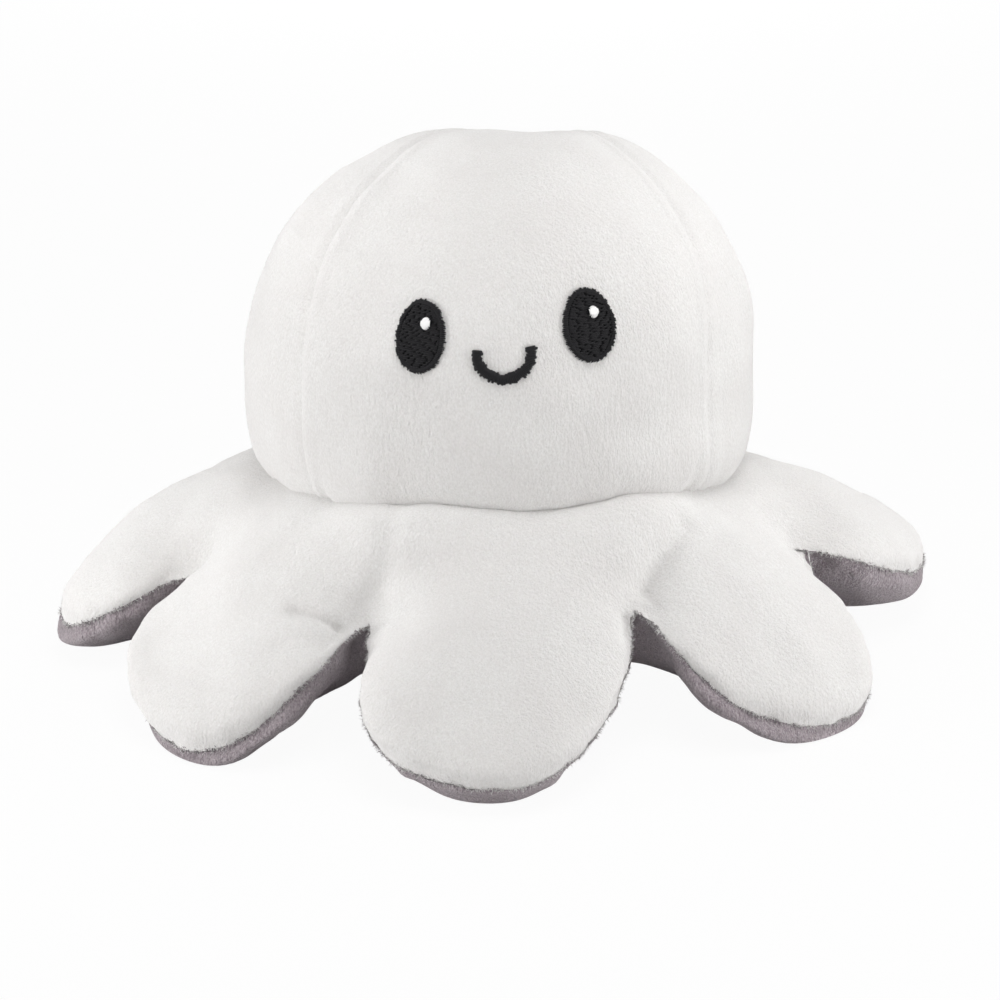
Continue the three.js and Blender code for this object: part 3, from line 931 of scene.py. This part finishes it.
def add_pocket():
    share = np.linspace(0, pocket_top_share, pocket_rows + 1)[:, None]
    for side, start, end in zip(head_sides, head_seams, np.roll(head_seams, -1)):
        angle = sweep(start, end, pocket_columns)
        seen, behind = pocket_point(share, angle, 0), pocket_point(share, angle, skin)
        normals = grid_normals(seen, [0, 0, opening_height] - seen)
        piece = thick_sheet(f"grey_pocket_{side}", seen, behind, plushes["grey"], normals)
        finish_piece(piece, "grey_plush", slack_fill, f"pocket_panel_{side}")


add_pocket()

# Stitched face. Heights are measured along the cloth
face_heading = -quarter_turn + math.radians(2.5)
face_roll = math.radians(2.1)
face_shift = 0.75
eyes_above_neck = 45.9
eye_spacing = 37.15
eye_halves = {"left": (5.72, 8.15), "right": (6.15, 8.4)}  # half width and half height
eye_tilts = {"left": math.radians(3), "right": math.radians(-1.5)}
eye_seeds = {"left": 49, "right": 51}

# Threads, each a tube that narrows and sinks into the cloth at its ends. A lift is the height over the
# cloth and the rise of the arch
thread_radius = 0.2
thread_rings, thread_sides = 7, 6
thread_sunk_share, thread_end_share = 1.2, 0.55
thread_hump_power = 4
thread_up_step = 1.0

# Pad under the threads of an eye
pad_inset, pad_thickness, pad_depth, pad_fullness = 0.4, 0.45, 0.6, 1.05
pad_rings, pad_turns, pad_hole_share = 6, 48, 0.02

# Rows of threads that fill an eye
row_apart, row_slope, row_stagger = 0.38, 0.12, 2.4
row_stitch_lengths = (2.2, 3.0)
shortest_stitch = 0.5
row_lift = (0.42, 0.22)

# Threads across the border of an eye, with ragged outer ends
border_width, border_overlap_share, border_apart = 1.3, 0.7, 0.36
border_ragged = (-0.25, 0.3)
border_lift = (0.3, 0.36)

# Glint in an eye
glint_half_width, glint_half_height = 1.05, 1.4
glint_across, glint_up = 1.25, 2.6
glint_inset, glint_apart, glint_end_share = 0.15, 0.3, 0.05
glint_lift = (1.05, 0.35)

# Smile, stitched in two layers across its line, with ragged ends
smile_radius, smile_band = 5.7, 2.15
smile_below_eyes, smile_across = 4.0, -0.5
smile_arc = math.radians(192)
smile_apart = 0.33
smile_ragged_inner, smile_ragged_outer = (-0.3, 0.2), (-0.25, 0.4)
smile_thread_radius = 0.24
smile_bases, smile_arch = (0.1, 0.3), 0.4
smile_seed = 60


def face_point(place, offset):
    """Point over the head's cloth at places measured along it from the middle of the face."""
    place = turned(place[..., 0], place[..., 1], face_roll) + [face_shift, eyes_above_neck]
    middle = np.interp(eyes_above_neck, head_run, head_radii)
    disk = (1 - place[..., 1] / head_length) * np.exp(1j * (face_heading + place[..., 0] / middle))
    return head_surface(disk, offset)


def stitches(starts, ends, radius, base, arch):
    """Points and faces of threads laid on the face, each a little arch that dips in at its ends."""
    share = np.linspace(0, 1, thread_rings)
    path = starts[:, None] + (ends - starts)[:, None] * share[None, :, None]
    hump = np.sqrt(np.clip(1 - (2 * share - 1) ** thread_hump_power, 0, 1))
    sunk = radius * thread_sunk_share
    height = base - sunk + (arch + sunk) * hump
    low = face_point(path, height)
    up = unit(face_point(path, height + thread_up_step) - low)
    ahead = unit(np.gradient(low, axis=1))
    side = unit(np.cross(ahead, up))
    width = radius * (thread_end_share + (1 - thread_end_share) * hump)
    around = np.linspace(0, full_turn, thread_sides, endpoint=False)
    ring = np.cos(around)[:, None] * side[:, :, None, :] + np.sin(around)[:, None] * up[:, :, None, :]
    points = low[:, :, None, :] + ring * width[:, None, None]
    at = np.arange(points[..., 0].size).reshape(points.shape[:3])
    after = np.roll(at, -1, axis=2)
    walls = np.stack([at[:, :-1], after[:, :-1], after[:, 1:], at[:, 1:]], -1).reshape(-1, 4)
    caps = np.concatenate([at[:, 0, ::-1], at[:, -1]])
    return points.reshape(-1, 3), walls.tolist() + caps.tolist()


def thread_piece(name, parts, material):
    points, faces, first = [], [], 0
    for own, own_faces in parts:
        points.append(own)
        faces += [[corner + first for corner in face] for face in own_faces]
        first += len(own)
    return add_mesh(name, np.concatenate(points), faces, material)


def oval(halves, tilt, share, angle):
    return turned(halves[0] * share * np.cos(angle), halves[1] * share * np.sin(angle), tilt)


def eye_pad(centre, halves, tilt):
    """A thin closed pad under the threads, so that no cloth shows between them."""
    share = np.linspace(pad_hole_share, 1, pad_rings)[:, None]
    angle = np.linspace(0, full_turn, pad_turns, endpoint=False)
    place = centre + oval([half - pad_inset for half in halves], tilt, share, angle)
    top = face_point(place, pad_thickness * np.sqrt(np.clip(pad_fullness - share**2, 0, 1)))
    bottom = face_point(place, -pad_depth)
    at = np.arange(pad_rings * pad_turns).reshape(pad_rings, pad_turns)
    after = np.roll(at, -1, axis=1)
    upper = np.stack([at[:-1], at[1:], after[1:], after[:-1]], -1).reshape(-1, 4)
    rim = np.stack([at[-1], at[-1] + at.size, after[-1] + at.size, after[-1]], -1)
    lid = [at[0].tolist(), (at[0, ::-1] + at.size).tolist()]
    faces = upper.tolist() + (upper[:, ::-1] + at.size).tolist() + rim.tolist() + lid
    return np.concatenate([top.reshape(-1, 3), bottom.reshape(-1, 3)]), faces


def eye_rows(halves, draw):
    """Starts and ends of rows of short threads, staggered like brickwork."""
    half_width, half_height = (half - border_width * border_overlap_share for half in halves)
    starts, ends = [], []
    for row in np.arange(-half_height, half_height, row_apart):
        half = half_width * math.sqrt(max(1 - (row / half_height) ** 2, 0))
        x = -half - draw.uniform(0, row_stagger)
        while x < half:
            length = draw.uniform(*row_stitch_lengths)
            start, end = max(x, -half), min(x + length, half)
            if end - start > shortest_stitch:
                starts.append((start, row + start * row_slope))
                ends.append((end, row + end * row_slope))
            x += length
    return np.array(starts), np.array(ends)


def eye_border(centre, halves, tilt, draw):
    count = int(math.pi * sum(halves) / border_apart)
    angle = np.linspace(0, full_turn, count, endpoint=False)
    ragged = draw.uniform(*border_ragged, count)
    edge = centre + oval(halves, tilt, 1, angle)
    across = unit(oval([1 / half for half in halves], tilt, 1, angle))
    starts, ends = edge - across * border_width, edge + across * ragged[:, None]
    return stitches(starts, ends, thread_radius, *border_lift)


def add_eye(side, centre):
    draw = np.random.default_rng(eye_seeds[side])
    halves, tilt = eye_halves[side], eye_tilts[side]
    starts, ends = (centre + turned(*row.T, tilt) for row in eye_rows(halves, draw))
    rows = stitches(starts, ends, thread_radius, *row_lift)
    parts = [eye_pad(centre, halves, tilt), rows, eye_border(centre, halves, tilt, draw)]
    piece = thread_piece(f"stitched_eye_{side}", parts, black_thread)
    finish_piece(piece, "black_thread", None, f"eye_{side}")


def add_glint(side, centre):
    x = np.arange(-glint_half_width + glint_inset, glint_half_width, glint_apart)
    half = glint_half_height * np.sqrt(np.clip(1 - (x / glint_half_width) ** 2, glint_end_share, 1))
    middle = centre + [glint_across, glint_up]
    starts, ends = (middle + np.stack([x, way * half], -1) for way in (-1, 1))
    parts = [stitches(starts, ends, thread_radius, *glint_lift)]
    piece = thread_piece(f"stitched_glint_{side}", parts, white_thread)
    finish_piece(piece, "white_thread", None, f"eye_glint_{side}")


def add_smile():
    draw = np.random.default_rng(smile_seed)
    count = int(smile_arc * smile_radius / smile_apart)
    angle = -quarter_turn + smile_arc * (np.linspace(0, 1, count) - 1 / 2)
    inner = smile_radius - smile_band / 2 + draw.uniform(*smile_ragged_inner, count)
    outer = smile_radius + smile_band / 2 + draw.uniform(*smile_ragged_outer, count)
    centre = np.array([smile_across, -smile_below_eyes])
    parts = []
    for base in smile_bases:
        heading = from_polar(1, angle)
        starts, ends = centre + heading * inner[:, None], centre + heading * outer[:, None]
        parts.append(stitches(starts, ends, smile_thread_radius, base, smile_arch))
        angle = angle + smile_arc / count / 2
    piece = thread_piece("stitched_mouth", parts, black_thread)
    finish_piece(piece, "black_thread", None, "mouth")


def add_face():
    for side, way in (("left", -1), ("right", 1)):
        centre = np.array([way * eye_spacing / 2, 0.0])
        add_eye(side, centre)
        add_glint(side, centre)
    add_smile()


add_face()

# Floor, world and lamps, in metres and watts
floor_size = 12.0
floor_glow = 0.95
fill_strength = 0.19
stage_white = shade("ffffff")
floor_surface = {"Base Color": shade("ececec"), "Roughness": 1.0, "Specular IOR Level": 0.0}
lamp_aim = (0.0, 0.0, 0.06)
lamps = [
    ("left_lamp", (-0.48, -0.2, 0.08), 0.25, 1.6),
    ("right_lamp", (0.48, -0.2, 0.08), 0.25, 1.4),
    ("front_lamp", (0.0, -0.8, 0.5), 0.5, 0.6),
    ("top_lamp", (0.06, -0.12, 0.45), 0.3, 1.02),
    ("high_left_lamp", (-0.7, 0.1, 0.5), 0.4, 0.5),
    ("near_left_lamp", (-0.35, -0.3, 0.05), 0.15, 0.12),
    ("back_lamp", (0.0, 0.7, 0.15), 0.4, 2.2),
]


def math_node(tree, operation, first, second):
    """Joins two values, of which the second may be a plain number."""
    node = tree.nodes.new("ShaderNodeMath")
    node.operation = operation
    tree.links.new(first, node.inputs[0])
    if isinstance(second, float):
        node.inputs[1].default_value = second
    else:
        tree.links.new(second, node.inputs[1])
    return node.outputs[0]


def seen_share(tree):
    """One for what the camera and reflections see, which is plain and bright, or else zero."""
    path = tree.nodes.new("ShaderNodeLightPath")
    seen = math_node(tree, "MAXIMUM", path.outputs["Is Camera Ray"], path.outputs["Is Glossy Ray"])
    return math_node(tree, "MAXIMUM", seen, path.outputs["Is Transmission Ray"])


def mix_shaders(tree, output, share, first, second):
    mix = tree.nodes.new("ShaderNodeMixShader")
    tree.links.new(share, mix.inputs["Fac"])
    tree.links.new(first.outputs[0], mix.inputs[1])
    tree.links.new(second.outputs[0], mix.inputs[2])
    tree.links.new(mix.outputs[0], tree.nodes[output].inputs["Surface"])


def add_world():
    world = bpy.data.worlds.new("studio")
    scene.world = world
    world.use_nodes = True
    tree = world.node_tree
    fill = tree.nodes["Background"]
    set_inputs(fill, {"Color": stage_white, "Strength": fill_strength})
    seen = tree.nodes.new("ShaderNodeBackground")
    set_inputs(seen, {"Color": stage_white, "Strength": 1.0})
    mix_shaders(tree, "World Output", seen_share(tree), fill, seen)


def add_floor():
    mesh = bpy.data.meshes.new("floor")
    half = floor_size / 2
    corners = [(-half, -half, 0), (half, -half, 0), (half, half, 0), (-half, half, 0)]
    mesh.from_pydata(corners, [], [(0, 1, 2, 3)])
    material, tree, shader = add_nodes("floor")
    set_inputs(shader, floor_surface)
    glow = tree.nodes.new("ShaderNodeEmission")
    glow.inputs["Color"].default_value = stage_white
    share = math_node(tree, "MULTIPLY", seen_share(tree), floor_glow)
    mix_shaders(tree, "Material Output", share, shader, glow)
    mesh.materials.append(material)
    floor = bpy.data.objects.new("floor", mesh)
    scene.collection.objects.link(floor)


def add_lamp(name, place, size, power):
    data = bpy.data.lights.new(name, "AREA")
    data.shape = "DISK"
    data.size = size
    data.energy = power
    lamp = bpy.data.objects.new(name, data)
    lamp.location = place
    lamp.visible_camera = False
    lamp.rotation_euler = (Vector(lamp_aim) - Vector(place)).to_track_quat("-Z", "Y").to_euler()
    scene.collection.objects.link(lamp)


add_world()
add_floor()
for lamp in lamps:
    add_lamp(*lamp)
scene.view_settings.view_transform = "Standard"
